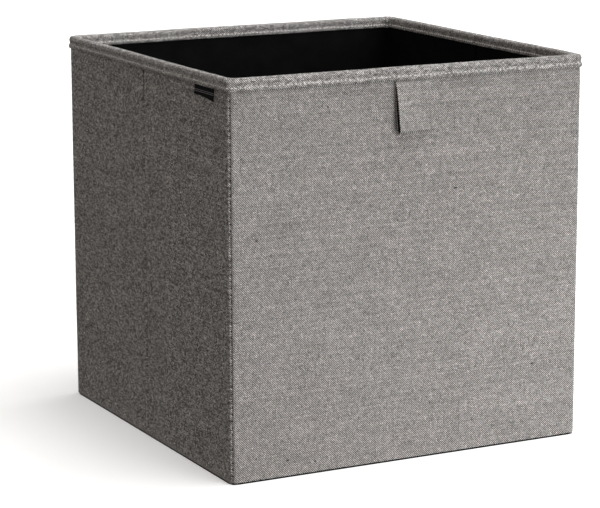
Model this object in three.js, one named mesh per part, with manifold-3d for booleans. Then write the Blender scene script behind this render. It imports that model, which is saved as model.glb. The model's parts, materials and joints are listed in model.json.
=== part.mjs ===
// Foldable fabric storage bin: four board-stiffened cloth walls, a sewn floor, a base flap,
// a bound rim, a pull tab and a woven side label.
//
// Frame: millimetres, +Z up, the front wall towards -Y, origin on the underside of the floor
// cloth in the middle of the bin. Every wall is drawn flat in its own frame (x along the wall,
// y from the cover's outer face into the bin, z up) and a group then turns it into place.

import * as THREE from "three";
import { mergeVertices } from "three/addons/utils/BufferGeometryUtils.js";
import Module from "manifold-3d";

const wasm = await Module();
wasm.setup();

// ---- Driving dimensions -------------------------------------------------------------------

const WIDTH = 320;
const DEPTH = 320;
const HEIGHT = 321;
const CORNER_RADIUS = 6;

const COVER_CLOTH = 0.8;
const LINING_CLOTH = 0.6;
const WALL_BOARD = 2.4;
const LAYER_GAP = 0.2;

const RIM_HEIGHT = 10.5;
const CREASE_GAP = 0.5;
const CORNER_SLIT = 0.5;
const BOARD_GAP = 2;

const FLOOR_CLOTH = 0.6;
const BASE_BOARD = 1.8;
const SLEEVE_CLOTH = 0.4;
const SLEEVE_GAP = 0.15;
const SLIDE_GAP = 0.4;
const FLAP_BELOW_RIM = 2.4;

const TAB_WIDTH = 33;
const TAB_LENGTH = 42.5;
const TAB_CLOTH = 1;
const TAB_OFFSET = 1;
const SEAM_GAP = 0.3;

const LABEL_WIDTH = 35;
const LABEL_HEIGHT = 9;
const LABEL_CLOTH = 0.7;
const LABEL_FROM_CORNER = 25;

// ---- Sizes that follow --------------------------------------------------------------------

const HALF_WIDTH = WIDTH / 2;
const HALF_DEPTH = DEPTH / 2;

// A wall's layers, as distances in from the cover's outer face.
const BOARD_FACE = COVER_CLOTH + LAYER_GAP;
const LINING_FACE = BOARD_FACE + WALL_BOARD + LAYER_GAP;
const WALL = LINING_FACE + LINING_CLOTH;

// The binding stands proud of the wall by this much outside, inside and on top.
const RIM_PROUD = LAYER_GAP + COVER_CLOTH;
const WALL_TOP = HEIGHT - RIM_PROUD;
const RIM_BOTTOM = HEIGHT - RIM_HEIGHT;
const RIM_FACE = WALL + RIM_PROUD;

// The base flap lies on the floor cloth, inside the rim's clear width, and when it stands up
// against the front wall it ends below the rim binding.
const BASE = BASE_BOARD + 2 * (SLEEVE_GAP + SLEEVE_CLOTH);
const BASE_BOTTOM = FLOOR_CLOTH + LAYER_GAP;
const BASE_TOP = BASE_BOTTOM + BASE;
const BASE_HALF_WIDTH = HALF_WIDTH - RIM_FACE - 2 * SLIDE_GAP;
const BASE_FRONT = -HALF_DEPTH + RIM_FACE + SLIDE_GAP;
const BASE_BACK = BASE_FRONT + RIM_BOTTOM - FLAP_BELOW_RIM - BASE_TOP;

// The front wall stands on the floor cloth. The walls that fold slide over the base flap.
const FRONT_BOTTOM = FLOOR_CLOTH + LAYER_GAP;
const FOLDING_BOTTOM = BASE_TOP + SLIDE_GAP;
const HEM_TOP = FOLDING_BOTTOM - LAYER_GAP;

// The side walls turn about upright lines this far in from the front and back faces. That
// leaves a slot against the front wall for the base flap when it stands up.
const HINGE_DEPTH = RIM_FACE + SLIDE_GAP + BASE + CORNER_SLIT;
const CORNER_DEPTH = HINGE_DEPTH - CORNER_SLIT;

// ---- Materials ----------------------------------------------------------------------------

function cloth(name, color, roughness) {
  return new THREE.MeshStandardMaterial({ name, color, roughness, metalness: 0 });
}

const coverCloth = cloth("cover_cloth", 0x96928e, 0.95);
const bindingCloth = cloth("binding_cloth", 0x9d9a97, 0.95);
const liningCloth = cloth("lining_cloth", 0x141414, 0.9);
const floorCloth = cloth("floor_cloth", 0x17171a, 0.9);
const labelCloth = cloth("label_cloth", 0x0b0b0d, 0.7);
const greyBoard = cloth("grey_board", 0x857c70, 0.85);

// ---- Helpers ------------------------------------------------------------------------------

// A box between two limits on each axis.
function slab(name, material, [x0, x1], [y0, y1], [z0, z1]) {
  const mesh = new THREE.Mesh(new THREE.BoxGeometry(x1 - x0, y1 - y0, z1 - z0), material);
  mesh.name = name;
  mesh.position.set((x0 + x1) / 2, (y0 + y1) / 2, (z0 + z1) / 2);
  return mesh;
}

// A plan outline raised from one height to another.
function raise(shape, z0, z1) {
  const geometry = new THREE.ExtrudeGeometry(shape, {
    depth: z1 - z0,
    bevelEnabled: false,
    curveSegments: 6,
  });
  return geometry.translate(0, 0, z0);
}

function named(name, material, geometry) {
  const mesh = new THREE.Mesh(geometry, material);
  mesh.name = name;
  return mesh;
}

// Turns a closed geometry into a solid that can be joined and cut.
function solid(geometry) {
  const bare = geometry.clone();
  bare.deleteAttribute("normal");
  bare.deleteAttribute("uv");
  const merged = mergeVertices(bare, 1e-4);
  return new wasm.Manifold(
    new wasm.Mesh({
      numProp: 3,
      vertProperties: merged.attributes.position.array,
      triVerts: new Uint32Array(merged.index.array),
    }),
  );
}

function geometryOf(manifold) {
  const mesh = manifold.getMesh();
  const geometry = new THREE.BufferGeometry();
  geometry.setAttribute("position", new THREE.BufferAttribute(mesh.vertProperties, 3));
  geometry.setIndex(new THREE.BufferAttribute(mesh.triVerts, 1));
  return geometry;
}

// The plan of a strip that runs across a wall's full width and wraps round both its corners.
// outside and inside say how far the strip's two faces stand out from the cover's outer face,
// and depth says how far its ends run along the neighbouring walls.
function wrapPlan(outside, inside, depth) {
  const leftCentre = -HALF_WIDTH + CORNER_RADIUS;
  const rightCentre = HALF_WIDTH - CORNER_RADIUS;
  const outerRadius = CORNER_RADIUS + outside;
  const innerRadius = CORNER_RADIUS + inside;
  const shape = new THREE.Shape();
  shape.moveTo(-HALF_WIDTH - outside, depth);
  shape.absarc(leftCentre, CORNER_RADIUS, outerRadius, Math.PI, 1.5 * Math.PI, false);
  shape.absarc(rightCentre, CORNER_RADIUS, outerRadius, 1.5 * Math.PI, 2 * Math.PI, false);
  shape.lineTo(HALF_WIDTH + outside, depth);
  shape.lineTo(HALF_WIDTH + inside, depth);
  shape.absarc(rightCentre, CORNER_RADIUS, innerRadius, 0, -0.5 * Math.PI, true);
  shape.absarc(leftCentre, CORNER_RADIUS, innerRadius, -0.5 * Math.PI, -Math.PI, true);
  shape.lineTo(-HALF_WIDTH - inside, depth);
  return shape;
}

// ---- Front and back walls -----------------------------------------------------------------

// The rim binding of a full wall: a wrapped strip with a pocket for the wall's layers, open
// below and at both ends.
function wrappedBinding(name) {
  const body = solid(raise(wrapPlan(RIM_PROUD, -RIM_FACE, CORNER_DEPTH), RIM_BOTTOM, HEIGHT));
  const pocketPlan = wrapPlan(LAYER_GAP, -WALL - LAYER_GAP, CORNER_DEPTH + RIM_HEIGHT);
  const pocket = solid(raise(pocketPlan, RIM_BOTTOM - RIM_HEIGHT, HEIGHT - COVER_CLOTH));
  return named(name, bindingCloth, geometryOf(body.subtract(pocket)));
}

// A wall that keeps the corners: its cover, lining and binding wrap round them and end at the
// fold lines of the side walls.
function fullWall(name, bottom, turn, y) {
  const group = new THREE.Group();
  const boardHalf = HALF_WIDTH - CORNER_RADIUS;
  const boardY = [BOARD_FACE, BOARD_FACE + WALL_BOARD];
  const coverPlan = wrapPlan(0, -COVER_CLOTH, CORNER_DEPTH);
  const liningPlan = wrapPlan(-LINING_FACE, -WALL, CORNER_DEPTH);
  group.add(
    named(`${name}_cover`, coverCloth, raise(coverPlan, bottom, WALL_TOP)),
    slab(`${name}_board`, greyBoard, [-boardHalf, boardHalf], boardY, [bottom, WALL_TOP]),
    named(`${name}_lining`, liningCloth, raise(liningPlan, bottom, WALL_TOP)),
    wrappedBinding(`${name}_binding`),
  );
  group.rotation.z = turn;
  group.position.y = y;
  return group;
}

// ---- Side walls, each in two halves that fold at a crease ----------------------------------

// The rim binding of a side half: an upside-down channel along the wall.
function channelBinding(name, x0, x1) {
  const shape = new THREE.Shape();
  shape.moveTo(-RIM_PROUD, RIM_BOTTOM);
  shape.lineTo(-LAYER_GAP, RIM_BOTTOM);
  shape.lineTo(-LAYER_GAP, HEIGHT - COVER_CLOTH);
  shape.lineTo(WALL + LAYER_GAP, HEIGHT - COVER_CLOTH);
  shape.lineTo(WALL + LAYER_GAP, RIM_BOTTOM);
  shape.lineTo(RIM_FACE, RIM_BOTTOM);
  shape.lineTo(RIM_FACE, HEIGHT);
  shape.lineTo(-RIM_PROUD, HEIGHT);
  const geometry = new THREE.ExtrudeGeometry(shape, { depth: x1 - x0, bevelEnabled: false });
  // The section's x and y become the wall's y and z, and the sweep runs along the wall's x.
  const along = new THREE.Matrix4().makeBasis(
    new THREE.Vector3(0, 1, 0),
    new THREE.Vector3(0, 0, 1),
    new THREE.Vector3(1, 0, 0),
  );
  return named(name, bindingCloth, geometry.applyMatrix4(along).translate(x0, 0, 0));
}

// The board stops short of both fold lines, where the cloth has to bend.
function sideHalf(name, x0, x1) {
  const group = new THREE.Group();
  const boardX = [x0 + BOARD_GAP, x1 - BOARD_GAP];
  const tall = [FOLDING_BOTTOM, WALL_TOP];
  group.add(
    slab(`${name}_cover`, coverCloth, [x0, x1], [0, COVER_CLOTH], tall),
    slab(`${name}_board`, greyBoard, boardX, [BOARD_FACE, BOARD_FACE + WALL_BOARD], tall),
    slab(`${name}_lining`, liningCloth, [x0, x1], [LINING_FACE, WALL], tall),
    channelBinding(`${name}_binding`, x0, x1),
  );
  return group;
}

// Positive x runs towards the front on the left wall and towards the back on the right wall.
function sideWall(positiveHalf, negativeHalf, turn, x) {
  const group = new THREE.Group();
  const end = HALF_DEPTH - HINGE_DEPTH;
  group.add(sideHalf(positiveHalf, CREASE_GAP, end));
  group.add(sideHalf(negativeHalf, -end, -CREASE_GAP));
  group.rotation.z = turn;
  group.position.x = x;
  return group;
}

// A woven label whose top edge is caught under the rim binding.
function sideLabel() {
  const corner = HALF_DEPTH - LABEL_FROM_CORNER;
  const top = RIM_BOTTOM - SEAM_GAP;
  return slab(
    "side_label",
    labelCloth,
    [corner - LABEL_WIDTH, corner],
    [-LAYER_GAP - LABEL_CLOTH, -LAYER_GAP],
    [top - LABEL_HEIGHT, top],
  );
}

// ---- Floor and base flap ------------------------------------------------------------------

// The floor cloth, with a low hem that turns up under the walls that fold.
function floorSheet() {
  const plan = new THREE.Shape();
  const x = HALF_WIDTH - CORNER_RADIUS;
  const y = HALF_DEPTH - CORNER_RADIUS;
  plan.absarc(-x, -y, CORNER_RADIUS, Math.PI, 1.5 * Math.PI, false);
  plan.absarc(x, -y, CORNER_RADIUS, 1.5 * Math.PI, 2 * Math.PI, false);
  plan.absarc(x, y, CORNER_RADIUS, 0, 0.5 * Math.PI, false);
  plan.absarc(-x, y, CORNER_RADIUS, 0.5 * Math.PI, Math.PI, false);
  const sheet = solid(raise(plan, 0, FLOOR_CLOTH));
  const hem = raise(wrapPlan(0, -COVER_CLOTH, DEPTH - HINGE_DEPTH), 0, HEM_TOP);
  hem.rotateZ(Math.PI).translate(0, HALF_DEPTH, 0);
  return named("floor_cloth", floorCloth, geometryOf(sheet.add(solid(hem))));
}

// The board of the base flap and the cloth sleeve it slides into from the back.
function baseFlap() {
  const group = new THREE.Group();
  const skin = SLEEVE_CLOTH + SLEEVE_GAP;
  const boardX = [-BASE_HALF_WIDTH + skin, BASE_HALF_WIDTH - skin];
  const boardY = [BASE_FRONT + skin, BASE_BACK - skin];
  const boardZ = [BASE_BOTTOM + skin, BASE_TOP - skin];
  const outer = new THREE.BoxGeometry(2 * BASE_HALF_WIDTH, BASE_BACK - BASE_FRONT, BASE);
  const pocket = new THREE.BoxGeometry(
    2 * (BASE_HALF_WIDTH - SLEEVE_CLOTH),
    BASE_BACK - BASE_FRONT,
    BASE - 2 * SLEEVE_CLOTH,
  );
  pocket.translate(0, SLEEVE_CLOTH, 0);
  const sleeve = named("base_sleeve", liningCloth, geometryOf(solid(outer).subtract(solid(pocket))));
  sleeve.position.set(0, (BASE_FRONT + BASE_BACK) / 2, (BASE_BOTTOM + BASE_TOP) / 2);
  group.add(sleeve, slab("base_board", greyBoard, boardX, boardY, boardZ));
  return group;
}

// ---- Pull tab -----------------------------------------------------------------------------

// A strip of cover cloth folded into a loop. Both ends are caught in the binding's seam, and
// the loop hangs a little open: x is the distance out from the front wall, y is upwards.
function pullTab() {
  const backTop = SEAM_GAP;
  const frontTop = backTop + 2 * TAB_CLOTH;
  const backFoot = 1.4;
  const bend = 2.3;
  const bendHeight = -TAB_LENGTH + bend;
  const split = -7;
  const outline = new THREE.Shape();
  outline.moveTo(backTop, 0);
  outline.lineTo(backFoot, bendHeight);
  outline.absarc(backFoot + bend, bendHeight, bend, Math.PI, 2 * Math.PI, false);
  outline.lineTo(frontTop, 0);
  const hollow = new THREE.Path();
  hollow.moveTo((backTop + frontTop) / 2, split);
  hollow.absarc(backFoot + bend, bendHeight, bend - TAB_CLOTH, Math.PI, 2 * Math.PI, false);
  outline.holes.push(hollow);
  const geometry = new THREE.ExtrudeGeometry(outline, {
    depth: TAB_WIDTH,
    bevelEnabled: false,
    curveSegments: 8,
  });
  // The outline's x points out of the front wall, its y points up and the sweep runs along -X.
  const outwards = new THREE.Matrix4().makeBasis(
    new THREE.Vector3(0, -1, 0),
    new THREE.Vector3(0, 0, 1),
    new THREE.Vector3(-1, 0, 0),
  );
  const tab = named("pull_tab", coverCloth, geometry.applyMatrix4(outwards));
  tab.position.set(TAB_OFFSET + TAB_WIDTH / 2, -HALF_DEPTH, RIM_BOTTOM - SEAM_GAP);
  return tab;
}

// ---- The bin ------------------------------------------------------------------------------

const QUARTER_TURN = Math.PI / 2;
const bin = new THREE.Group();
const leftWall = sideWall("left_front", "left_rear", -QUARTER_TURN, -HALF_WIDTH);
leftWall.add(sideLabel());
bin.add(
  fullWall("front", FRONT_BOTTOM, 0, -HALF_DEPTH),
  fullWall("back", FOLDING_BOTTOM, Math.PI, HALF_DEPTH),
  leftWall,
  sideWall("right_rear", "right_front", QUARTER_TURN, HALF_WIDTH),
  floorSheet(),
  baseFlap(),
  pullTab(),
);

export default bin;
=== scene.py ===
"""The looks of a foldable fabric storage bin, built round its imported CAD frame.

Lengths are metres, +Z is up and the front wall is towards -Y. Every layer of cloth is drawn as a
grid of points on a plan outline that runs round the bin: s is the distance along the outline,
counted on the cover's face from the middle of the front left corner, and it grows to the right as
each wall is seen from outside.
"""

import json
import math

import bpy
import numpy as np
from mathutils import Euler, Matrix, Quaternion, Vector


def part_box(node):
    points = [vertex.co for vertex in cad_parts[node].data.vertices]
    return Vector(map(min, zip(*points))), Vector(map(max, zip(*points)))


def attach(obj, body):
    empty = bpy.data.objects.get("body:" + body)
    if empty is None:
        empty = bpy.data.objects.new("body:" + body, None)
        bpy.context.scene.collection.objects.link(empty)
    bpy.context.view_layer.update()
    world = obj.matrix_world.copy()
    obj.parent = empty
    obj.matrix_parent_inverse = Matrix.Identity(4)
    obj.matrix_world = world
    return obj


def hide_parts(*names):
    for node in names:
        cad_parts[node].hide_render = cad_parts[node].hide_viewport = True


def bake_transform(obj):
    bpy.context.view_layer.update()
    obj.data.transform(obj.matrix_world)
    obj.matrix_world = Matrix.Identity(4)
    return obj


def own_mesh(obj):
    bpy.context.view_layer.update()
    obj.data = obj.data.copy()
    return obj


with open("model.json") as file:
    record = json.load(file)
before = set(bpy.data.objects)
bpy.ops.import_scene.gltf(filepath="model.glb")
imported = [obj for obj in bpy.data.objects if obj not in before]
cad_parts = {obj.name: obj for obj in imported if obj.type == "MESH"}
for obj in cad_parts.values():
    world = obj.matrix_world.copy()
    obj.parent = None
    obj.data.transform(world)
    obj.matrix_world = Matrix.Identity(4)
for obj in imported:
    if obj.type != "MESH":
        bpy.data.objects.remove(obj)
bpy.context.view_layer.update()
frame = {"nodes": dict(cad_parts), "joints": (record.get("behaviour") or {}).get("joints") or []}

MM = 0.001

# ---- Sizes read from the frame ----

FRONT_LOW, FRONT_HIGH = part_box("front_cover")
SIDE_LOW, SIDE_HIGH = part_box("left_front_cover")
LINING_LOW, LINING_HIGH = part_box("left_front_lining")
RIM_LOW, RIM_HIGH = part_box("left_front_binding")
FLAP_LOW, FLAP_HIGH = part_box("base_sleeve")
TAB_LOW, TAB_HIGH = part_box("pull_tab")
LABEL_LOW, LABEL_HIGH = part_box("side_label")
JOINT = {joint["name"]: joint["pos_m"] for joint in frame["joints"]}

HALF = FRONT_HIGH.x
FRONT_BOTTOM = FRONT_LOW.z
FOLDING_BOTTOM = SIDE_LOW.z
RIM_TOP = RIM_HIGH.z
RIM_BOTTOM = RIM_LOW.z
HEM_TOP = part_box("floor_cloth")[1].z

# Insets are counted inwards from the cover's face: LINING_BACK and WALL are the lining's hidden
# and showing sides, and RIM_FACE is the binding's inner side. RIM_PROUD is counted outwards.
COVER_CLOTH = SIDE_HIGH.x - SIDE_LOW.x
LINING_BACK = LINING_LOW.x + HALF
WALL = LINING_HIGH.x + HALF
RIM_FACE = RIM_HIGH.x + HALF
RIM_PROUD = -HALF - RIM_LOW.x

# ---- Sizes of the looks ----

# Radii of the corners. RIM_WIDE_CORNER is the inside of the rim at the front left corner.
# TAKE_UP is how far from a corner's middle its radius still moves the cloth.
CORNER = 4.8 * MM
LINING_CORNER = 5 * MM
RIM_INNER_CORNER = 6 * MM
RIM_WIDE_CORNER = 12 * MM
TAKE_UP = 26 * MM

# SIDE is the outline's length for one side of the bin, and the creases are places on it.
SIDE = 2 * (HALF - CORNER) + CORNER * math.pi / 2
CREASE_LEFT = -SIDE / 2
CREASE_RIGHT = 1.5 * SIDE

# ---- Grids and meshes ----

TINY = 1e-9
LEAST_STEP = 0.12 * MM


def plan(s, inset, radius):
    """x, y and the outward normal of a layer's outline, inset from the cover's face.

    The layer turns the corners at its own radius. From TAKE_UP away from a corner's middle, its
    points lie straight behind the cover's.
    """
    s, inset, radius = np.broadcast_arrays(s, inset, radius)
    turn = np.floor(s / SIDE + TINY)
    along = s - turn * SIDE
    end = np.where(along < SIDE / 2, -1.0, 1.0)
    from_corner = np.minimum(along, SIDE - along)
    half = HALF - inset
    arc = radius * math.pi / 4
    level = HALF - CORNER + CORNER * math.pi / 4 - TAKE_UP
    own = from_corner * (arc + half - radius - level) / TAKE_UP
    angle = np.clip((arc - own) / radius, 0, None)
    near = np.where(
        own < arc,
        half - radius + radius * np.sin(angle),
        half - radius - (own - arc),
    )
    near = np.where(from_corner > TAKE_UP, level + TAKE_UP - from_corner, near)
    out = half - radius + radius * np.cos(angle)
    quarter = turn * math.pi / 2
    ax, ay = np.cos(quarter), np.sin(quarter)
    a = end * near
    lean = end * np.sin(angle)
    x = a * ax + out * ay
    y = a * ay - out * ax
    nx = lean * ax + np.cos(angle) * ay
    ny = lean * ay - np.cos(angle) * ax
    return x, y, nx, ny


def waves(x, y, z, seed, lengths, count=5):
    """A smooth random swell from about -1 to 1, the same at the same place for the same seed."""
    rng = np.random.default_rng(seed)
    total = np.zeros(np.broadcast(x, y, z).shape)
    for _ in range(count):
        direction = unit(rng.normal(size=3))
        length = rng.uniform(*lengths)
        phase = rng.uniform(0, 2 * math.pi)
        pushed = (x * direction[0] + y * direction[1] + z * direction[2]) / length
        total = total + np.sin(2 * math.pi * pushed + phase)
    return total / count


def gather(x, y, z):
    """One grid of points from x, y and z, each of which may be a grid, a row, a column or a number."""
    return np.stack(np.broadcast_arrays(x, y, z), axis=-1)


def unit(vectors):
    """The same directions, as vectors of length 1."""
    return vectors / np.linalg.norm(vectors, axis=-1, keepdims=True)


def run_along(line):
    """The distance along a line of points, at each of them."""
    return np.concatenate([[0], np.cumsum(np.linalg.norm(np.diff(line, axis=0), axis=1))])


def bell(distance, width, power=2):
    """1 at no distance, falling smoothly to nearly 0 past width. A higher power is flatter inside."""
    return np.exp(-((distance / width) ** power))


def layer(s, z, inset, radius, relief=0.0):
    """Points of a layer at each row z and column s, moved outwards by relief."""
    x, y, nx, ny = plan(s, inset, radius)
    return gather(x + nx * relief, y + ny * relief, z)


def spaced(start, end, step, close=()):
    """Stations from start to end, step apart, and finer round each (place, reach, fine step).

    Stations less than LEAST_STEP apart are thinned out.
    """
    count = max(2, int(math.ceil((end - start) / step)) + 1)
    stations = list(np.linspace(start, end, count))
    for place, reach, fine in close:
        low, high = max(start, place - reach), min(end, place + reach)
        if low < high:
            count = max(2, int(math.ceil((high - low) / fine)) + 1)
            stations += list(np.linspace(low, high, count))
    stations = np.unique(np.round(stations, 7))
    kept = [stations[0]]
    for station in stations[1:]:
        if station - kept[-1] > LEAST_STEP:
            kept.append(station)
    kept[-1] = stations[-1]
    return np.array(kept)


def mesh_object(name, points, faces, uv, material, sharp=48):
    """A smooth shaded mesh with one UV map, given per point, in metres of cloth."""
    mesh = bpy.data.meshes.new(name)
    mesh.from_pydata([tuple(p) for p in points], [], faces)
    layer_uv = mesh.uv_layers.new(name="cloth")
    corners = np.zeros(len(mesh.loops), int)
    mesh.loops.foreach_get("vertex_index", corners)
    layer_uv.data.foreach_set("uv", np.asarray(uv, float)[corners].ravel())
    mesh.polygons.foreach_set("use_smooth", [True] * len(mesh.polygons))
    mesh.set_sharp_from_angle(angle=math.radians(sharp))
    mesh.materials.append(material)
    mesh.validate()
    made = bpy.data.objects.new(name, mesh)
    bpy.context.scene.collection.objects.link(made)
    return made


def grid_faces(rows, columns, start=0, flip=False):
    """Quads between neighbouring rows and columns of a grid of points."""
    faces = []
    for i in range(rows - 1):
        for j in range(columns - 1):
            a = start + i * columns + j
            quad = (a, a + 1, a + columns + 1, a + columns)
            faces.append(quad[::-1] if flip else quad)
    return faces


def shell(name, face, back, uv, material):
    """A closed thin solid between two grids of points: the face that shows, and its back."""
    rows, columns = face.shape[:2]
    count = rows * columns
    faces = grid_faces(rows, columns) + grid_faces(rows, columns, count, flip=True)
    ring = list(range(columns))
    ring += [i * columns + columns - 1 for i in range(1, rows)]
    ring += [(rows - 1) * columns + j for j in range(columns - 2, -1, -1)]
    ring += [i * columns for i in range(rows - 2, 0, -1)]
    for a, b in zip(ring, ring[1:] + ring[:1]):
        faces.append((b, a, a + count, b + count))
    points = np.concatenate([face.reshape(-1, 3), back.reshape(-1, 3)])
    flat = np.broadcast_to(uv, (rows, columns, 2)).reshape(-1, 2)
    return mesh_object(name, points, faces, np.concatenate([flat, flat]), material)


def line_back(piece, rows, columns, material):
    """Gives the back of a shell its own material."""
    piece.data.materials.append(material)
    quads = (rows - 1) * (columns - 1)
    for polygon in piece.data.polygons[quads : 2 * quads]:
        polygon.material_index = 1


def cloth_uv(s, z):
    """The place on the cloth of each point: along the outline, and up."""
    return np.stack(np.broadcast_arrays(s, z), axis=-1)


# ---- Material nodes ----

# Nearly all the values of a noise texture lie between these.
NOISE = (0.3, 0.7)


def shade_of(colour, share):
    """A colour made lighter or darker."""
    return [min(1.0, part * share) for part in colour[:3]] + [1.0]


class Shader:
    """Short ways to build one material's nodes."""

    def __init__(self, name):
        self.material = bpy.data.materials.new(name)
        self.material.use_nodes = True
        self.tree = self.material.node_tree
        self.surface = self.tree.nodes["Principled BSDF"]

    def plug(self, socket, value):
        if isinstance(value, bpy.types.NodeSocket):
            self.tree.links.new(value, socket)
        else:
            socket.default_value = value

    def node(self, kind, inputs=(), **settings):
        made = self.tree.nodes.new(kind)
        for key, value in settings.items():
            setattr(made, key, value)
        for key, value in dict(inputs).items():
            self.plug(made.inputs[key], value)
        return made

    def math(self, operation, a, b=0.0, c=0.0):
        made = self.node("ShaderNodeMath", {0: a, 1: b, 2: c}, operation=operation)
        return made.outputs[0]

    def times(self, first, *others):
        """The product of some values."""
        product = first
        for other in others:
            product = self.math("MULTIPLY", product, other)
        return product

    def scaled(self, u, across, v, up):
        """A place on the cloth, stretched by a factor each way."""
        return self.vector(self.times(u, across), self.times(v, up))

    def distance(self, value, place):
        return self.math("ABSOLUTE", self.math("SUBTRACT", value, place))

    def ramp(self, value, low, high, to_low=0.0, to_high=1.0, smooth=True):
        kind = "SMOOTHSTEP" if smooth else "LINEAR"
        inputs = {"Value": value, "From Min": low, "From Max": high}
        inputs |= {"To Min": to_low, "To Max": to_high}
        return self.node("ShaderNodeMapRange", inputs, interpolation_type=kind).outputs[0]

    def mix(self, factor, a, b):
        made = self.node("ShaderNodeMix", data_type="RGBA")
        self.plug(made.inputs[0], factor)
        self.plug(made.inputs[6], a)
        self.plug(made.inputs[7], b)
        return made.outputs[2]

    def uv(self):
        made = self.node("ShaderNodeTexCoord").outputs["UV"]
        parts = self.node("ShaderNodeSeparateXYZ", {0: made})
        return parts.outputs[0], parts.outputs[1]

    def vector(self, x, y, z=0.0):
        return self.node("ShaderNodeCombineXYZ", {0: x, 1: y, 2: z}).outputs[0]

    def noise(self, vector, scale=1.0, detail=2.0, rough=0.5):
        inputs = {"Vector": vector, "Scale": scale, "Detail": detail, "Roughness": rough}
        return self.node("ShaderNodeTexNoise", inputs).outputs[0]

    def white(self, value):
        made = self.node("ShaderNodeTexWhiteNoise", {"W": value}, noise_dimensions="1D")
        return made.outputs[0]

    def patches(self, u, v, width, height):
        """A random shade for each small oblong of the cloth."""
        column = self.math("FLOOR", self.math("DIVIDE", u, width))
        row = self.math("FLOOR", self.math("DIVIDE", v, height))
        inputs = {"Vector": self.vector(column, row)}
        return self.node("ShaderNodeTexWhiteNoise", inputs, noise_dimensions="2D").outputs[0]

    def put(self, socket, value):
        """Gives one input of the surface a value or a node's output."""
        self.plug(self.surface.inputs[socket], value)

    def bump(self, height, distance, strength=1.0):
        inputs = {"Height": height, "Distance": distance, "Strength": strength}
        made = self.node("ShaderNodeBump", inputs)
        self.put("Normal", made.outputs[0])


# The spacing of the yarns, and how quickly a yarn's thickness changes along it, per metre.
YARN = 0.45 * MM
YARN_SWELL = 320.0


def yarns(shader, u, v, light, dark):
    """The colour and the height of a two-by-two twill of pale cross yarns and dark upright ones.

    Each yarn swells and thins along its length, and has its own shade.
    """
    across, up = shader.math("DIVIDE", u, YARN), shader.math("DIVIDE", v, YARN)
    column, row = shader.math("FLOOR", across), shader.math("FLOOR", up)
    place = shader.math("FRACT", shader.math("DIVIDE", shader.math("ADD", column, row), 4.0))
    upright = shader.math("LESS_THAN", place, 0.49)

    cross_noise = shader.noise(shader.vector(shader.times(u, YARN_SWELL), row), detail=3.0)
    warp_noise = shader.noise(shader.vector(column, shader.times(v, YARN_SWELL)), detail=3.0)
    cross_shade = shader.math("ADD", cross_noise, shader.times(shader.white(row), 0.15))
    warp_shade = shader.math("ADD", warp_noise, shader.times(shader.white(column), 0.2))
    cross = shader.ramp(cross_shade, 0.3, 0.8, smooth=False)
    warp = shader.ramp(warp_shade, 0.3, 0.9, smooth=False)
    pale = shader.mix(cross, shade_of(light, 0.5), shade_of(light, 1.5))
    deep = shader.mix(warp, shade_of(dark, 0.2), shade_of(dark, 2.4))

    cross_round = shader.math("SINE", shader.times(shader.math("FRACT", up), math.pi))
    warp_round = shader.math("SINE", shader.times(shader.math("FRACT", across), math.pi))
    height = shader.node("ShaderNodeMix", {0: upright, 2: cross_round, 3: warp_round}).outputs[0]
    return shader.mix(upright, pale, deep), height


def mottling(shader, u, v, broad, flecks):
    """Shares of a mottle a few millimetres across, of broader clouds, and of a grain with flecks."""
    place = shader.vector(u, v)
    mottle = shader.ramp(broad, *NOISE, 0.82, 1.18, smooth=False)
    clouds = shader.ramp(shader.noise(place, scale=38.0), *NOISE, 0.93, 1.07, smooth=False)
    grain = shader.ramp(shader.noise(place, scale=900.0), *NOISE, 0.6, 1.4, smooth=False)
    patch = shader.patches(u, v, 2.1 * MM, 1.1 * MM)
    fleck = shader.ramp(patch, 0.0, 1.0, 1 - flecks, 1 + flecks, smooth=False)
    return [mottle, clouds, shader.times(grain, fleck)]


def streaks(shader, u, v):
    """Shares of the slubs: thin dark and pale streaks along the yarns both ways."""
    slow, quick = 130.0, 1000.0
    along, upwards = shader.scaled(u, slow, v, quick), shader.scaled(u, quick, v, slow)
    shares = []
    for route, deep_share, pale_share in ((along, 0.6, 1.22), (upwards, 0.5, 1.4)):
        streak = shader.noise(route)
        shares.append(shader.ramp(streak, 0.6, 0.74, 1.0, deep_share))
        shares.append(shader.ramp(streak, 0.28, 0.42, pale_share, 1.0))
    return shares


def knots(shader, u, v):
    """Shares of a few small dark knots, in two shapes."""
    shares = []
    for across, up in ((40.0, 80.0), (95.0, 60.0)):
        inputs = {"Vector": shader.scaled(u, across, v, up), "Scale": 1.0}
        cells = shader.node("ShaderNodeTexVoronoi", inputs)
        pick = shader.node("ShaderNodeSeparateColor", {0: cells.outputs["Color"]}).outputs[0]
        reach = shader.ramp(pick, 0.5, 1.0, 0.0, 0.07, smooth=False)
        inside = shader.math("LESS_THAN", cells.outputs["Distance"], reach)
        shares.append(shader.ramp(inside, 0.0, 1.0, 1.0, 0.25, smooth=False))
    return shares


def crease_shade(shader, u, v, creases):
    """Shares of painted shade down upright folds, darkest where the cloth is pinched under the rim."""
    shares = []
    for crease in creases:
        darkest_shade = shader.ramp(v, RIM_BOTTOM - 32 * MM, RIM_BOTTOM - 6 * MM, 0.94, 0.35)
        shares.append(shader.ramp(shader.distance(u, crease), 0.5 * MM, 1.6 * MM, darkest_shade, 1.0))
    return shares


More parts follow.
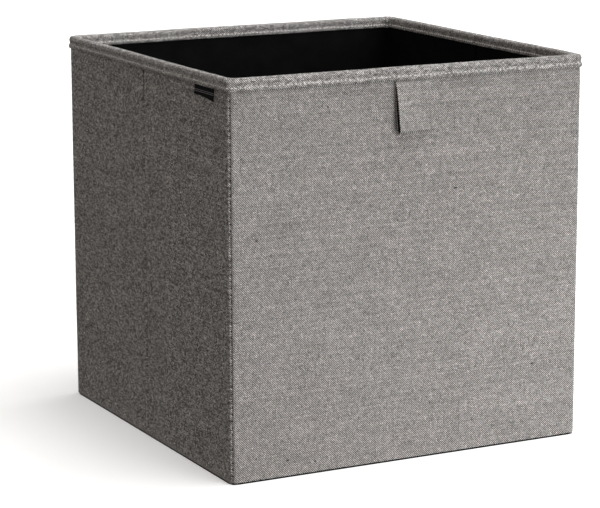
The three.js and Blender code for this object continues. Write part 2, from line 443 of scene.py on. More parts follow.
def woven(name, light, dark, flecks=0.12, painted_shade_edges=(), creases=()):
    """Twill cloth. The yarns' colour is multiplied by shares that darken it or make it paler.

    Edges at the heights, in v, given after flecks are darkened a little with painted shade.
    creases holds places, in u, of upright folds, which are given painted shade.
    """
    shader = Shader(name)
    u, v = shader.uv()
    colour, height = yarns(shader, u, v, light, dark)
    broad = shader.noise(shader.vector(u, v), scale=170.0, detail=3.0, rough=0.7)
    shares = mottling(shader, u, v, broad, flecks) + streaks(shader, u, v) + knots(shader, u, v)
    # Painted shade: the cloth is a little darker near each of these edges.
    shares += [shader.ramp(shader.distance(v, edge), 2 * MM, 6 * MM, 0.92, 1.0) for edge in painted_shade_edges]
    # Painted shade down the upright folds.
    shares += crease_shade(shader, u, v, creases)
    inputs = {0: colour, "Scale": shader.times(*shares)}
    shader.put("Base Color", shader.node("ShaderNodeVectorMath", inputs, operation="SCALE").outputs[0])
    shader.put("Roughness", shader.ramp(broad, *NOISE, 0.86, 0.98))
    shader.put("Specular IOR Level", 0.15)
    shader.put("Sheen Weight", 0.04)
    shader.bump(height, 0.12 * MM, 0.35)
    return shader.material


def nonwoven(name, colour, raised, pitch=2.2 * MM):
    """Black felted cloth, with a fine embossed dot in diagonal rows."""
    shader = Shader(name)
    u, v = shader.uv()
    place = shader.vector(u, v)
    turn = math.pi / pitch
    first = shader.math("SINE", shader.times(shader.math("ADD", u, v), turn))
    second = shader.math("SINE", shader.times(shader.math("SUBTRACT", u, v), turn))
    dots = shader.ramp(shader.times(first, second), 0.35, 0.8)
    fibre = shader.noise(place, scale=1400.0, detail=4.0, rough=0.7)
    broad = shader.noise(place, scale=60.0, detail=2.0)
    shade = shader.math("ADD", shader.times(fibre, 0.6), shader.times(broad, 0.4))
    base = shader.mix(shader.ramp(shade, 0.35, 0.65), colour, raised)
    shader.put("Base Color", shader.mix(dots, base, colour))
    shader.put("Roughness", shader.ramp(dots, 0.0, 1.0, 0.95, 0.75))
    shader.put("Specular IOR Level", 0.08)
    shader.bump(shader.math("SUBTRACT", shader.times(fibre, 0.4), dots), 0.15 * MM, 0.6)
    return shader.material


def ribbon(name, ground, stripe, stripes, rib=0.35 * MM):
    """Close black ribbon weave. stripes are plain pale ones along it, as (from, to) in v."""
    shader = Shader(name)
    u, v = shader.uv()
    ribs = shader.math("SINE", shader.times(v, 2 * math.pi / rib))
    cells = shader.math("SINE", shader.times(u, 2 * math.pi / rib))
    grain = shader.noise(shader.vector(u, v), scale=900.0, detail=2.0)
    inside = 0.0
    for low, high in stripes:
        above = shader.math("GREATER_THAN", v, low)
        below = shader.math("LESS_THAN", v, high)
        inside = shader.math("ADD", shader.times(above, below), inside)
    shade = shader.ramp(grain, *NOISE)
    deep = shader.mix(shade, shade_of(ground, 0.6), shade_of(ground, 1.6))
    pale = shader.mix(shade, shade_of(stripe, 0.8), shade_of(stripe, 1.1))
    shader.put("Base Color", shader.mix(inside, deep, pale))
    shader.put("Roughness", shader.ramp(grain, *NOISE, 0.6, 0.8))
    shader.put("Specular IOR Level", 0.15)
    shader.bump(shader.times(shader.math("ADD", ribs, cells), 0.5), 0.06 * MM, 0.4)
    return shader.material


def greyboard(name, light, dark, speck_colour):
    """Pressed grey board: felted fibres, a few dark specks and a soft mottle."""
    shader = Shader(name)
    place = shader.node("ShaderNodeTexCoord").outputs["Object"]
    fibre = shader.noise(place, scale=900.0, detail=5.0, rough=0.7)
    mottle = shader.noise(place, scale=90.0, detail=2.0)
    shade = shader.math("ADD", shader.times(fibre, 0.7), shader.times(mottle, 0.3))
    speck = shader.ramp(shader.noise(place, scale=420.0, detail=0.0), 0.72, 0.78)
    base = shader.mix(shader.ramp(shade, 0.35, 0.65), dark, light)
    shader.put("Base Color", shader.mix(speck, base, speck_colour))
    shader.put("Roughness", shader.ramp(mottle, *NOISE, 0.82, 0.95))
    shader.bump(fibre, 0.2 * MM, 0.5)
    return shader.material


def thread(name, light, dark, twist=0.5 * MM):
    """Sewing thread: plies that wind round it, and a faint gloss."""
    shader = Shader(name)
    u, v = shader.uv()
    plies = shader.math("SINE", shader.times(shader.math("ADD", u, v), 2 * math.pi / twist))
    fuzz = shader.noise(shader.vector(u, v), scale=2500.0, detail=2.0)
    shade = shader.math("ADD", shader.times(plies, 0.3), fuzz)
    shader.put("Base Color", shader.mix(shader.ramp(shade, 0.2, 0.9), dark, light))
    shader.put("Roughness", shader.ramp(fuzz, *NOISE, 0.55, 0.75))
    shader.bump(plies, 0.05 * MM, 0.5)
    return shader.material


PALE_YARN, DARK_YARN = [0.62, 0.6, 0.585], [0.055, 0.052, 0.049]
COVER = woven("cover_cloth", PALE_YARN, DARK_YARN)
# The side walls' cloth has painted shade down its creases.
SIDE_COVER = woven(
    "side_cover_cloth", PALE_YARN, DARK_YARN, flecks=0.6, creases=[CREASE_LEFT, CREASE_RIGHT]
)
# Painted shade: the binding's colour is a little darker near the top of the rim, against the light
# falling on it from above.
BINDING = woven(
    "binding_cloth", [0.66, 0.64, 0.625], [0.06, 0.057, 0.054], flecks=0.45, painted_shade_edges=[RIM_TOP]
)
LINING = nonwoven("lining_cloth", [0.0042, 0.0042, 0.0042, 1], [0.0092, 0.0092, 0.0092, 1])
FLOOR = nonwoven("floor_cloth", [0.006, 0.006, 0.0065, 1], [0.014, 0.014, 0.015, 1], pitch=3 * MM)
GREY_BOARD = greyboard(
    "grey_board", [0.3, 0.26, 0.21, 1], [0.19, 0.16, 0.13, 1], speck_colour=[0.05, 0.045, 0.04, 1]
)
PALE_THREAD = thread("pale_thread", [0.95, 0.94, 0.92, 1], [0.6, 0.59, 0.57, 1])
DARK_THREAD = thread("dark_thread", [0.06, 0.055, 0.05, 1], [0.012, 0.011, 0.01, 1])

# ---- Which body each stretch of the walls follows ----

LEFT_FRONT = JOINT["left_front_fold"]
LEFT_REAR = JOINT["left_rear_fold"]
RIGHT_FRONT = JOINT["right_front_fold"]
CORNER_BEND = 4.5 * MM
CREASE_BEND = 3 * MM
QUARTER = SIDE / 4

# The open fold line lies CORNER_TO_HINGE short of the rear right corner's middle.
CORNER_TO_HINGE = CORNER * math.pi / 4 + (HALF - CORNER) + LEFT_FRONT[1]
RIGHT_REAR_END = 2 * SIDE - CORNER_TO_HINGE


def bent_at(x, y, reach):
    return {"start": (x, y - reach, 0), "end": (x, y + reach, 0)}


def stretches(crease_bend):
    """Name, start, end, bodies and bend of each length of cloth round the walls.

    crease_bend is how far either side of a side wall's crease the stretch's bend span reaches.
    """
    left, right = -HALF, HALF
    left_front = bent_at(left, LEFT_FRONT[1], CORNER_BEND)
    left_rear = bent_at(left, LEFT_REAR[1], CORNER_BEND)
    right_front = bent_at(right, RIGHT_FRONT[1], CORNER_BEND)
    left_crease, right_crease = bent_at(left, 0, crease_bend), bent_at(right, 0, crease_bend)
    near, far = SIDE + QUARTER, SIDE + 3 * QUARTER
    yield "front", 0, SIDE, ["front_wall"], None
    yield "left_front_corner", -QUARTER, 0, ["front_wall", "left_front_wall"], left_front
    yield "left_crease", -3 * QUARTER, -QUARTER, ["left_front_wall", "left_rear_wall"], left_crease
    yield "left_rear_corner", -SIDE, -3 * QUARTER, ["left_rear_wall", "back_wall"], left_rear
    yield "right_front_corner", SIDE, near, ["front_wall", "right_front_wall"], right_front
    yield "right_crease", near, far, ["right_front_wall", "right_rear_wall"], right_crease
    yield "right_rear", far, RIGHT_REAR_END, ["right_rear_wall"], None
    yield "back", RIGHT_REAR_END, 3 * SIDE, ["back_wall"], None


# The walls, as the CAD names them, behind each stretch.
NODES_OF = {
    "front": ["front"],
    "left_front_corner": ["left_front"],
    "left_crease": ["left_front", "left_rear"],
    "left_rear_corner": ["left_rear"],
    "right_front_corner": ["right_front"],
    "right_crease": ["right_front", "right_rear"],
    "right_rear": ["right_rear"],
    "back": ["back"],
}


def follow(piece, bodies, bend):
    """Rides a piece on its one body. A piece between two bodies only has its place baked into its
    mesh.
    """
    if bend is None:
        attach(piece, bodies[0])
    else:
        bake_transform(piece)


def nodes_of(stretch, part):
    """The names of the CAD nodes of one part, such as board, along a stretch."""
    return [f"{wall}_{part}" for wall in NODES_OF[stretch]]


def stands_for(stretch, part):
    """Hides the CAD nodes of one part along a stretch, which the new cloth stands in for."""
    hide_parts(*nodes_of(stretch, part))


def nearest(s, places):
    """Distance from s to the nearest of some places on the outline."""
    return np.min([np.abs(s - place) for place in places], axis=0)


CORNERS = [k * SIDE for k in range(-1, 4)]
CREASES = [CREASE_LEFT, CREASE_RIGHT]

# Where the grids are finer, for spaced: the corner seams, the creases, and right at each of them.
AT_FOLD = (1.6 * MM, 0.2 * MM)
FINE_SEAMS = [(s, 12 * MM, 0.7 * MM) for s in CORNERS] + [(s, *AT_FOLD) for s in CORNERS]
FINE_CREASES = [(s, 7 * MM, 0.6 * MM) for s in CREASES] + [(s, *AT_FOLD) for s in CREASES]

# ---- Cover ----

# FOOT is the radius of the cloth's turn under the bin, and EDGE_ROLL how far the floor cloth's edge
# rolls up in front of it. UNDER_RIM is how far cover and lining run on under the binding.
FOOT = 1.3 * MM
EDGE_ROLL = 0.7 * MM
SEAM_PITCH = 5.6 * MM
UNDER_RIM = 4 * MM


def foot(z):
    """How far the cloth turns in under the bin, near the floor."""
    low = np.clip(FOOT - z, 0, FOOT)
    return FOOT - np.sqrt(FOOT**2 - low**2)


def pressed(s):
    """The share of its thickness that the cloth keeps: it is pressed thin along each crease."""
    return 1 - 0.6 * bell(nearest(s, CREASES), 1.3 * MM)


def cover_relief(s, z):
    """How far the cover's face swells out from flat, with its seams, creases and pulls."""
    x, y, _, _ = plan(s, 0.0, CORNER)
    broad, small = waves(x, y, z, 11, (0.08, 0.2)), waves(x, y, z, 12, (0.02, 0.05))
    swell = 0.22 * MM * broad + 0.06 * MM * small

    # Each corner seam is drawn in, most at its stitches, which pucker the cloth beside it.
    off_seam = nearest(s, CORNERS)
    stitch = 0.5 + 0.5 * np.cos(2 * math.pi * z / SEAM_PITCH)
    seam = (0.6 * MM + 0.4 * MM * stitch) * bell(off_seam, 0.75 * MM)
    pucker = 0.16 * MM * (stitch - 0.5) * np.exp(-off_seam / (4 * MM))

    # A crease is a valley, deeper near the rim, with a soft shoulder either side.
    off_crease = nearest(s, CREASES)
    near_rim = np.exp(-np.abs(RIM_BOTTOM - z) / (6 * MM))
    valley = (0.9 + 0.7 * near_rim) * MM * bell(off_crease, 0.9 * MM)
    shoulder = 0.3 * MM * bell(off_crease - 5 * MM, 3.5 * MM)

    # The cloth runs flat before it goes under the binding.
    under = np.clip((z - (RIM_BOTTOM - 9 * MM)) / (9 * MM), 0, 1)
    flattened = 1 - under**2 * (3 - 2 * under)
    return (0.25 * MM + swell + pucker + shoulder) * flattened - seam - valley - foot(z)


def strip_of_cover(name, s, z, material):
    """Cover cloth at the stations s and heights z, with the cover's relief."""
    relief = cover_relief(s, z)
    face = layer(s, z, 0.0, CORNER, relief)
    back = layer(s, z, 0.0, CORNER, relief - COVER_CLOTH * pressed(s))
    return shell(name, face, back, cloth_uv(s, z), material)


def make_covers():
    """The cover cloth, from the foot of the walls to under the binding."""
    for stretch, start, end, bodies, bend in stretches(CREASE_BEND):
        s = spaced(start, end, 4 * MM, FINE_SEAMS + FINE_CREASES)[None, :]
        bottom = FRONT_BOTTOM + EDGE_ROLL if stretch == "front" else FOLDING_BOTTOM
        top = RIM_BOTTOM + UNDER_RIM
        z = spaced(bottom, top, SEAM_PITCH / 6, [(bottom, 4 * MM, 0.4 * MM)])[:, None]
        material = COVER if stretch in ("front", "back") else SIDE_COVER
        cover = strip_of_cover(f"cover_{stretch}", s, z, material)
        stands_for(stretch, "cover")
        follow(cover, bodies, bend)
        joined = [make_cover_tongue()] if stretch == "right_rear" else []


# ---- Tongues at the open corner ----

OPEN_CORNER = (RIGHT_FRONT[0], -RIGHT_FRONT[1])
TONGUE_TURN = np.radians(np.linspace(-2, 88, 19))[None, :]
TO_COVER = HALF - OPEN_CORNER[0]


def turned(radius, angle):
    """A point of the plan, at a radius and an angle about the open corner's fold line."""
    return OPEN_CORNER[0] + radius * np.cos(angle), OPEN_CORNER[1] + radius * np.sin(angle)


def make_cover_tongue():
    """Cover cloth that runs on round the rear right fold line, out of sight until it folds."""
    z = spaced(FOLDING_BOTTOM, RIM_BOTTOM - 0.3 * MM, 6 * MM)[:, None]
    outer = TO_COVER - COVER_CLOTH - 0.1 * MM
    sides = [gather(*turned(radius, TONGUE_TURN), z) for radius in (outer, outer - COVER_CLOTH)]
    uv = cloth_uv(RIGHT_REAR_END + TONGUE_TURN * outer, z)
    tongue = shell("cover_tongue", *sides, uv, COVER)
    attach(tongue, "right_rear_wall")
    return tongue


def make_rim_tongue(line):
    """The binding's share of the tongue: its outer half in section, turned about the fold line.

    It stays just inside the binding, and its dome is lowered by its cloth's thickness inside.
    """
    half = line[line[:, 0] < RIM_FACE / 2]
    inset, height = half[:, :1], half[:, 1:]
    radius = np.clip(TO_COVER - inset - 0.35 * MM, 0.5 * MM, None)
    z = RIM_BOTTOM + height * (1 - 0.4 * MM / (RIM_TOP - RIM_BOTTOM))
    on_dome = height > 8 * MM
    sides = []
    for inner in (0.0, RIM_CLOTH):
        x, y = turned(np.clip(radius - inner, 0.3 * MM, None), TONGUE_TURN)
        sides.append(gather(x, y, z - inner * on_dome))
    uv = cloth_uv(RIGHT_REAR_END + TONGUE_TURN * 6 * MM, z)
    tongue = shell("rim_tongue", *sides, uv, BINDING)
    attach(tongue, "right_rear_wall")
    return tongue


# ---- Lining ----


def lining_relief(s, z):
    """How far the lining's face is moved out from flat: inwards where it is slack, out in a crease."""
    x, y, _, _ = plan(s, WALL, LINING_CORNER)
    broad, small = waves(x, y, z, 21, (0.06, 0.16)), waves(x, y, z, 22, (0.015, 0.04))
    slack = 0.35 * MM * (1 + broad) + 0.08 * MM * small
    off_crease = nearest(s, CREASES)
    groove = 2.0 * MM * bell(off_crease, 1.3 * MM, power=4)
    return groove - slack * np.clip(off_crease / (12 * MM), 0, 1)


def make_linings():
    """The lining cloth, whose face is towards the inside of the bin."""
    thick = WALL - LINING_BACK
    for stretch, start, end, bodies, bend in stretches(CREASE_BEND):
        s = spaced(start, end, 5 * MM, FINE_SEAMS + FINE_CREASES)[None, :]
        bottom = FRONT_BOTTOM if stretch == "front" else FOLDING_BOTTOM
        z = spaced(bottom, RIM_BOTTOM + UNDER_RIM, 5 * MM, [(RIM_BOTTOM, 6 * MM, 1.5 * MM)])[:, None]
        relief = lining_relief(s, z)
        face = layer(s, z, WALL, LINING_CORNER, relief)
        back = layer(s, z, WALL, LINING_CORNER, relief + thick * pressed(s))
        name = f"lining_{stretch}"
        lining = shell(name, face[:, ::-1], back[:, ::-1], cloth_uv(s, z)[:, ::-1], LINING)
        stands_for(stretch, "lining")
        follow(lining, bodies, bend)


# ---- Rim binding and its stitches ----

# Heights are counted from the binding's lower edge. SHORTER_INSIDE is how much higher that edge
# lies inside the bin.
STITCH_HEIGHT = 2.9 * MM
DIP_HEIGHT = 5 * MM
STITCH_PITCH = 3.6 * MM
STITCH_LENGTH = 2.1 * MM
RIM_CLOTH = 0.8 * MM
RIM_CREASE_BEND = 1 * MM
SHORTER_INSIDE = 0.8 * MM


def rim_profile():
    """The binding's outer line in section, as (inset, height), from lip to lip over the rim.

    Below the stitches the lip flares out. Above them the cloth dips, then swells to the top.
    """
    lip = [(-0.7, 0.1), (-0.1, 0.0), (0.5, 0.35), (0.8, 1.1), (0.8, 1.9), (0.5, STITCH_HEIGHT / MM)]
    dip = [(-0.1, 4.3), (-0.15, DIP_HEIGHT / MM), (0.15, 6.3), (0.4, 7.4)]
    outer = [(-RIM_PROUD - out * MM, height * MM) for out, height in lip + dip]
    middle = (RIM_FACE - RIM_PROUD) / 2
    half_width = (RIM_FACE + RIM_PROUD) / 2
    shoulder = 2.3 * MM
    top = RIM_TOP - RIM_BOTTOM - shoulder
    dome = []
    for degrees in range(4, 177, 12):
        angle = math.radians(degrees)
        dome.append((middle - half_width * math.cos(angle), top + shoulder * math.sin(angle) ** 0.8))
    inner = []
    for inset, height in reversed(outer):
        raised = SHORTER_INSIDE * max(0.0, 1 - height / DIP_HEIGHT)
        inner.append((2 * middle - inset, height + raised))
    return np.array(outer + dome + inner)


def offset_line(line, distance):
    """A line moved sideways, to the right of its direction, by a distance."""
    step = unit(np.gradient(line, axis=0))
    return line + distance * np.stack([step[:, 1], -step[:, 0]], axis=1)


def rim_radius(inset, s):
    """The binding turns the corners tightly outside and more widely inside, most at the near left."""
    share = np.clip(inset / RIM_FACE, 0, 1)
    at_front_left = np.round(s / SIDE) % 4 == 0
    inner = np.where(at_front_left, RIM_WIDE_CORNER, RIM_INNER_CORNER)
    return (CORNER - np.minimum(inset, 0)) * (1 - share) + inner * share


def rim_points(s, line):
    """The binding's points: rows are the section's line, columns are the stations s."""
    inset, height = line[:, :1], line[:, 1:]
    x, y, _, _ = plan(s, 0.0, CORNER)
    broad, small = waves(x, y, 0.0, 31, (0.07, 0.18)), waves(x, y, 0.0, 32, (0.015, 0.03))
    wave = 0.3 * MM * broad + 0.1 * MM * small

    # The seam bulges over the tab, and each stitch pulls the cloth in a little.
    leg = np.clip(1 - height / (9 * MM), 0, 1)
    outside = (inset < RIM_PROUD) * 1.0
    tab_middle = SIDE / 2 + (TAB_LOW.x + TAB_HIGH.x) / 2
    over_tab = 1.2 * MM * bell(s - tab_middle, 19 * MM, power=6) * leg * outside
    at_stitch = bell(height - STITCH_HEIGHT, 1.6 * MM)
    pull = 0.25 * MM * np.cos(2 * math.pi * s / STITCH_PITCH) * at_stitch
    relief = 0.14 * MM * waves(x, y, height, 33, (0.02, 0.05)) + over_tab + pull

    # The cloth is creased down the inside of each corner, and pinched where the side walls fold.
    share = np.clip(inset / RIM_FACE, 0, 1)
    dent = 0.9 * MM * bell(nearest(s, CORNERS), 0.9 * MM) * share**2
    pinch = 3.9 * MM * bell(nearest(s, CREASES), 0.5 * MM, power=4) * share
    z = RIM_BOTTOM + height + wave - 0.5 * dent
    return layer(s, z, inset + dent - pinch, rim_radius(line[:, :1], s), relief)


def stitches(name, centres, along, normal, length, radius, material):
    """Short rounded stitches of thread, joined in one mesh."""
    rings, sides = 5, 6
    points, faces, uv = [], [], []
    across = np.cross(normal, along)
    for k in range(len(centres)):
        start = len(points)
        for i in range(rings):
            t = -1 + 2 * i / (rings - 1)
            thick = radius * math.sqrt(max(0.0, 1 - t**4)) + 0.02 * MM
            dip = -0.5 * radius * t * t
            for j in range(sides):
                angle = 2 * math.pi * j / sides
                spot = centres[k] + along[k] * (t * length / 2)
                spot = spot + across[k] * (thick * math.cos(angle))
                spot = spot + normal[k] * (thick * math.sin(angle) + dip)
                points.append(spot)
                uv.append((t * length / 2 + k * length, angle * radius))
        for i in range(rings - 1):
            for j in range(sides):
                a, b = start + i * sides + j, start + i * sides + (j + 1) % sides
                faces.append((a, b, b + sides, a + sides))
        faces.append(tuple(start + j for j in reversed(range(sides))))
        faces.append(tuple(start + (rings - 1) * sides + j for j in range(sides)))
    return mesh_object(name, points, faces, uv, material, sharp=80)


def rim_stitches(name, start, end, line, row):
    """A row of stitches round part of the rim, lying on one row of the binding's section."""
    count = np.arange(math.ceil(start / STITCH_PITCH), int(end / STITCH_PITCH))
    s = (count + 0.5) * STITCH_PITCH
    s = s[(nearest(s, CREASES) > 2 * MM) & (nearest(s, CORNERS) > 1.6 * MM)]
    ahead = rim_points(s[None, :] + 0.2 * MM, line)[row]
    here, above = rim_points(s[None, :], line)[row : row + 2]
    along = unit(ahead - here)
    normal = unit(np.cross(along, unit(above - here)))
    centres = here + normal * 0.1 * MM
    return stitches(name, centres, along, normal, STITCH_LENGTH, 0.6 * MM, PALE_THREAD)


def make_bindings():
    """The binding, folded over the rim, with a row of stitches outside and inside."""
    line = rim_profile()
    back_line = offset_line(line, RIM_CLOTH)
    lengths = run_along(line)
    outer_row = int(np.argmin(np.abs(line[: len(line) // 2, 1] - STITCH_HEIGHT)))
    inner_row = len(line) - 1 - outer_row
    for stretch, start, end, bodies, bend in stretches(RIM_CREASE_BEND):
        close = FINE_SEAMS + [(c, 1.2 * MM, 0.15 * MM) for c in CREASES]
        s = spaced(start, end, 3 * MM, close)[None, :]
        face, back = rim_points(s, line), rim_points(s, back_line)
        uv = cloth_uv(s, RIM_TOP - lengths[-1] / 2 + lengths[:, None])
        binding = shell(f"binding_{stretch}", face, back, uv, BINDING)
        stands_for(stretch, "binding")
        outer = rim_stitches(f"rim_stitches_outer_{stretch}", start, end, line, outer_row)
        inner = rim_stitches(f"rim_stitches_inner_{stretch}", start, end, line, inner_row)
        for piece in (binding, outer, inner):
            follow(piece, bodies, bend)
        if stretch == "right_rear":
            make_rim_tongue(line)


# ---- Corner seam stitches ----


def make_corner_stitches():
    """Dark stitches sunk in the seam down each corner."""
    bodies = ["front_wall", "front_wall", "back_wall", "back_wall"]
    z = np.arange(FOLDING_BOTTOM + 3 * MM, RIM_BOTTOM - 2 * MM, SEAM_PITCH)
    along = np.tile([0.0, 0.0, 1.0], (len(z), 1))
    for corner, (s, body) in enumerate(zip(CORNERS[1:], bodies)):
        places = np.full_like(z, s)
        centres = layer(places, z, 0.0, CORNER, -0.6 * MM)
        _, _, nx, ny = plan(places, 0.0, CORNER)
        normal = gather(nx, ny, 0.0)
        name = f"corner_stitches_{corner}"
        length, radius = 3.2 * MM, 0.55 * MM
        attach(stitches(name, centres, along, normal, length, radius, DARK_THREAD), body)


# ---- Floor cloth and hem ----


def make_floor_sheet():
    """A thin closed sheet: rings of points from its middle out to an edge that turns up."""
    edge = np.linspace(0, 4 * SIDE, 241)[:-1]
    rings = [0.25, 0.5, 0.75, 0.9, 0.97, 0.99, 0.994, 1.0]
    turned_up_from = 0.992
    top = FRONT_BOTTOM - 0.1 * MM
    x, y, _, _ = plan(edge, 0.3 * MM, CORNER)
    points = [(0.0, 0.0, top)]
    for share in rings:
        z = top + EDGE_ROLL * (share > turned_up_from)
        points += [(px, py, z) for px, py in zip(x * share, y * share)]
    count = len(edge)
    loop = [(j, (j + 1) % count) for j in range(count)]
    faces = [(0, 1 + j, 1 + k) for j, k in loop]
    for ring in range(len(rings) - 1):
        a, b = 1 + ring * count, 1 + (ring + 1) * count
        faces += [(a + j, b + j, b + k, a + k) for j, k in loop]
    under = len(points)
    points += [(px, py, 0.0) for px, py, _ in points]
    faces += [tuple(under + v for v in reversed(face)) for face in faces]
    last = under - count
    faces += [(last + k, last + j, under + last + j, under + last + k) for j, k in loop]
    uv = [point[:2] for point in points]
    sheet = mesh_object("floor_sheet", points, faces, uv, FLOOR)
    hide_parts("floor_cloth")
    return sheet


def make_floor_hem():
    """The hem that turns up round the floor cloth at the foot of the three folding sides."""
    close = [(k * SIDE, 12 * MM, 0.7 * MM) for k in range(1, 5)]
    s = spaced(SIDE, 4 * SIDE, 4 * MM, close)[None, :]
    z = spaced(FRONT_BOTTOM + EDGE_ROLL, HEM_TOP, 0.4 * MM)[:, None]
    hem = strip_of_cover("floor_hem", s, z, COVER)
    line_back(hem, z.shape[0], s.shape[1], FLOOR)
    return hem


def make_floor():
    """The floor cloth and hem, which ride on the front wall."""
    sheet, hem = make_floor_sheet(), make_floor_hem()
    for piece in (sheet, hem):
        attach(piece, "front_wall")
        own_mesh(piece)


# ---- Base flap ----


def make_base_flap():
    """The flap's cloth sleeve: a flat pad close round its board, with a groove sewn near its edge."""
    middle = (FLAP_LOW + FLAP_HIGH) / 2
    half_x = (FLAP_HIGH.x - FLAP_LOW.x) / 2 - 0.3 * MM
    half_y = (FLAP_HIGH.y - FLAP_LOW.y) / 2 - 0.2 * MM
    half_z = (FLAP_HIGH.z - FLAP_LOW.z) / 2
    stations = []
    for half in (half_x, half_y):
        close = [(end, 6 * MM, 0.5 * MM) for end in (-half, half)]
        stations.append(spaced(-half, half, 8 * MM, close))
    x, y = np.meshgrid(*stations)
    inward = np.minimum(half_x - np.abs(x), half_y - np.abs(y))

    # Points past the start of a corner's rounding are drawn in onto its arc.
    rounding = 0.8 * MM
    over_x = np.clip(np.abs(x) - (half_x - rounding), 0, None)
    over_y = np.clip(np.abs(y) - (half_y - rounding), 0, None)
    kept = np.maximum(over_x, over_y) / np.maximum(np.hypot(over_x, over_y), TINY)
    x = np.sign(x) * (np.abs(x) - over_x + over_x * kept)
    y = np.sign(y) * (np.abs(y) - over_y + over_y * kept)

    # The edge rounds over quickly, clear of the board, and the cloth between sags a little.
    edge = np.clip(inward / (0.6 * MM), 0, 1)
    height = half_z * (0.8 + 0.2 * np.sqrt(1 - (1 - edge) ** 2))
    groove = 0.2 * MM * bell(inward - 4 * MM, 0.9 * MM)
    swell = 0.1 * MM * (waves(x, y, 0.0, 41, (0.05, 0.12)) - 1.6)
    top = gather(x + middle.x, y + middle.y, middle.z + height - groove + swell)
    low = gather(x + middle.x, y + middle.y, middle.z - height * 0.96)
    sleeve = shell("base_flap_sleeve", top, low, cloth_uv(x, y), LINING)
    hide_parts("base_sleeve")
    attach(sleeve, "base_flap")


# ---- Pull tab ----


def tab_leg(at_top, at_low, down):
    """Distance off the wall down one leg: it leaves the seam quickly, then hangs straight."""
    early = 1 - np.exp(-down / 0.07)
    return at_top * early + (at_low - at_top) * down + 0.3 * MM * (1 - early)


def make_tab():
    """One strip folded into a loop. It is twisted, so its left edge stands further off the wall."""
    cloth, columns = 0.9 * MM, 17
    top, low = TAB_HIGH.z, TAB_LOW.z
    across = np.linspace(0, 1, columns)[None, :]
    down = np.linspace(0, 1, 16)[:, None]
    bend = np.linspace(0, math.pi, 9)[1:-1, None]

    # The front leg and the back leg, off the wall under the seam and at the foot of the loop.
    lean = 1 - across
    front_top, front_low = (1.5 + 1.7 * lean) * MM, (3.6 + 4.0 * lean) * MM
    back_top, back_low = (0.6 + 0.4 * lean) * MM, (1.2 + 1.9 * lean) * MM
    middle, radius = (front_low + back_low) / 2, (front_low - back_low) / 2
    drop = top - low - 1.2 * MM - 0.4 * MM * across - radius

    # Rows run down the front leg, round the foot of the loop and up the back leg.
    front, back = tab_leg(front_top, front_low, down), tab_leg(back_top, back_low, down[::-1])
    off_wall = np.concatenate([front, middle + radius * np.cos(bend), back])
    z = top - np.concatenate([drop * down, drop + radius * np.sin(bend), drop * down[::-1]])
    aside = 1.5 * MM * (top - z) / (top - low)
    x = TAB_LOW.x + (TAB_HIGH.x - TAB_LOW.x) * across + aside
    points = gather(x, -HALF - off_wall, z)
    normal = unit(np.cross(np.gradient(points, axis=0), np.gradient(points, axis=1)))
    swell = 0.12 * MM * waves(x, -HALF - off_wall, z, 51, (0.015, 0.03))[..., None]
    face = points + normal * (cloth / 2 + swell)
    rear = points - normal * (cloth / 2 - swell)
    run = run_along(points[:, columns // 2])
    uv = cloth_uv(x + SIDE / 2, top - run[:, None])
    tab = shell("tab_strip", face[::-1], rear[::-1], uv[::-1], COVER)
    # Painted shade: the inside of the loop is given the black lining cloth, which darkens the gap
    # between the legs.
    line_back(tab, points.shape[0], columns, LINING)
    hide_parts("pull_tab")
    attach(tab, "pull_tab")


# ---- Side label ----


def make_label():
    """A woven label caught under the binding, deeper and standing off a little at its front end."""
    width = LABEL_HIGH.y - LABEL_LOW.y
    caught = 2.2 * MM
    thick = 0.35 * MM
    across = np.linspace(0, 1, 25)[None, :]
    down = np.linspace(0, 1, 12)[:, None]
    y = LABEL_HIGH.y - width * across

    # The height that shows, and how far the cloth is lifted off the cover.
    height = (7.4 + 2.0 * across**2) * MM
    z = LABEL_HIGH.z + caught - (height + caught) * down
    clear = np.clip((LABEL_HIGH.z - z) / height, 0, 1)
    ripple = 0.1 * np.sin(7 * across + 2 * down)
    lift = (0.12 + clear * (0.35 + 0.6 * across**2 + ripple)) * MM
    off = cover_relief(y - SIDE / 2, z) + lift
    face, back = gather(-HALF - off - thick, y, z), gather(-HALF - off, y, z)
    uv = cloth_uv(width * across, z - LABEL_HIGH.z)
    stripes = [(-3.6 * MM, -3.2 * MM), (-4.9 * MM, -4.5 * MM)]
    material = ribbon("label_cloth", [0.0025, 0.0025, 0.003], [0.3, 0.3, 0.32], stripes)
    label = shell("woven_label", face[::-1], back[::-1], uv[::-1], material)
    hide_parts("side_label")
    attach(label, "left_front_wall")


# ---- Boards ----


def finish_boards():
    """The CAD boards are carried over, with a board material."""
    for name, node in frame["nodes"].items():
        if name.endswith("_board"):
            node.material_slots[0].material = GREY_BOARD


# ---- Camera, floor and light ----


def link(name, data):
    """A new object in the scene."""
    made = bpy.data.objects.new(name, data)
    bpy.context.scene.collection.objects.link(made)
    made.rotation_mode = "QUATERNION"
    return made


def make_camera():
    """The camera of the reference view: a long lens, a little above the rim."""
    data = bpy.data.cameras.new("camera")
    data.sensor_width = 36
    data.lens = 148.78
    camera = link("camera", data)
    camera.location = (-0.9659, -1.8433, 0.5754)
    turn, dip, roll = math.radians(27.237), math.radians(11.802), math.radians(-0.17)
    aim = Euler((math.pi / 2 - dip, 0, -turn)).to_quaternion()
    camera.rotation_quaternion = aim @ Quaternion((0, 0, 1), roll)
    bpy.context.scene.camera = camera


def soft_sun(name, turn, rise, softness, strength, tint=(1.0, 1.0, 1.0)):
    """Even light from far away. turn is measured from the front wall's side towards the right."""
    data = bpy.data.lights.new(name, "SUN")
    data.energy = strength
    data.color = tint
    data.angle = math.radians(softness)
    light = link(name, data)
    turn, rise = math.radians(turn), math.radians(rise)
    level = math.cos(rise)
    towards = Vector((math.sin(turn) * level, -math.cos(turn) * level, math.sin(rise)))
    light.location = 3 * towards
    light.rotation_quaternion = towards.to_track_quat("Z", "Y")


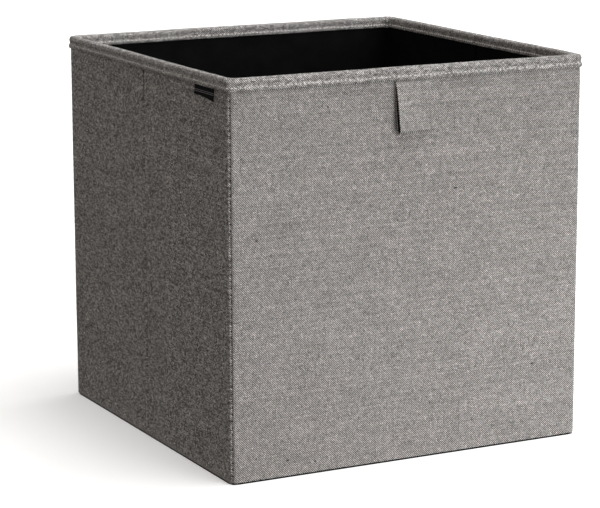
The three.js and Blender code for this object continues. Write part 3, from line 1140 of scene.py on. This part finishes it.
def low_bounce():
    """A pale card low down in front to the right, out of view, that lifts the front wall's foot."""
    data = bpy.data.lights.new("low_bounce", "AREA")
    data.shape = "RECTANGLE"
    data.size = 0.4
    data.size_y = 0.1
    data.energy = 0.5
    light = link("low_bounce", data)
    light.location = (0.22, -0.5, 0.06)
    lit = Vector((0, -HALF, 0.05))
    light.rotation_quaternion = (light.location - lit).to_track_quat("Z", "Y")
    light.visible_camera = False


def make_world():
    """Pale surroundings: dim as light, white as seen."""
    world = bpy.data.worlds.new("studio")
    bpy.context.scene.world = world
    world.use_nodes = True
    nodes, links = world.node_tree.nodes, world.node_tree.links
    soft, seen = nodes["Background"], nodes.new("ShaderNodeBackground")
    soft.inputs["Color"].default_value = (1.0, 0.95, 0.91, 1)
    soft.inputs["Strength"].default_value = 0.15
    seen.inputs["Color"].default_value = (1, 1, 1, 1)
    path, mixed = nodes.new("ShaderNodeLightPath"), nodes.new("ShaderNodeMixShader")
    links.new(path.outputs["Is Camera Ray"], mixed.inputs[0])
    links.new(soft.outputs[0], mixed.inputs[1])
    links.new(seen.outputs[0], mixed.inputs[2])
    links.new(mixed.outputs[0], nodes["World Output"].inputs[0])


def make_stage_floor():
    """A pale floor that glows faintly, so that it stays white away from the shadow."""
    shader = Shader("floor_paint")
    place = shader.node("ShaderNodeTexCoord").outputs["Object"]
    grain = shader.noise(place, scale=40.0, detail=3.0)
    shader.put("Base Color", shader.mix(grain, [0.93, 0.93, 0.93, 1], [0.97, 0.97, 0.97, 1]))
    shader.put("Roughness", 0.95)
    shader.put("Specular IOR Level", 0.0)
    shader.put("Emission Color", (1, 0.995, 0.99, 1))
    shader.put("Emission Strength", 0.31)
    reach = 12.0
    points = [(-reach, -reach, 0), (reach, -reach, 0), (reach, reach, 0), (-reach, reach, 0)]
    corners = [(0, 0), (1, 0), (1, 1), (0, 1)]
    floor = mesh_object("floor", points, [(0, 1, 2, 3)], corners, shader.material)
    floor.visible_diffuse = False
    floor.visible_glossy = False


def make_stage():
    """The floor, the surroundings and the lights, seen without any tone mapping."""
    bpy.context.scene.view_settings.view_transform = "Standard"
    make_world()
    make_stage_floor()
    soft_sun("overhead_key", turn=60, rise=74, softness=44, strength=2.35)
    soft_sun("front_fill", turn=15, rise=6, softness=30, strength=1.5)
    low_bounce()
    soft_sun("left_fill", turn=-80, rise=40, softness=90, strength=0.33, tint=(1.0, 0.92, 0.86))


make_camera()
make_stage()
make_covers()
make_linings()
make_bindings()
make_corner_stitches()
make_floor()
make_base_flap()
make_tab()
make_label()
finish_boards()
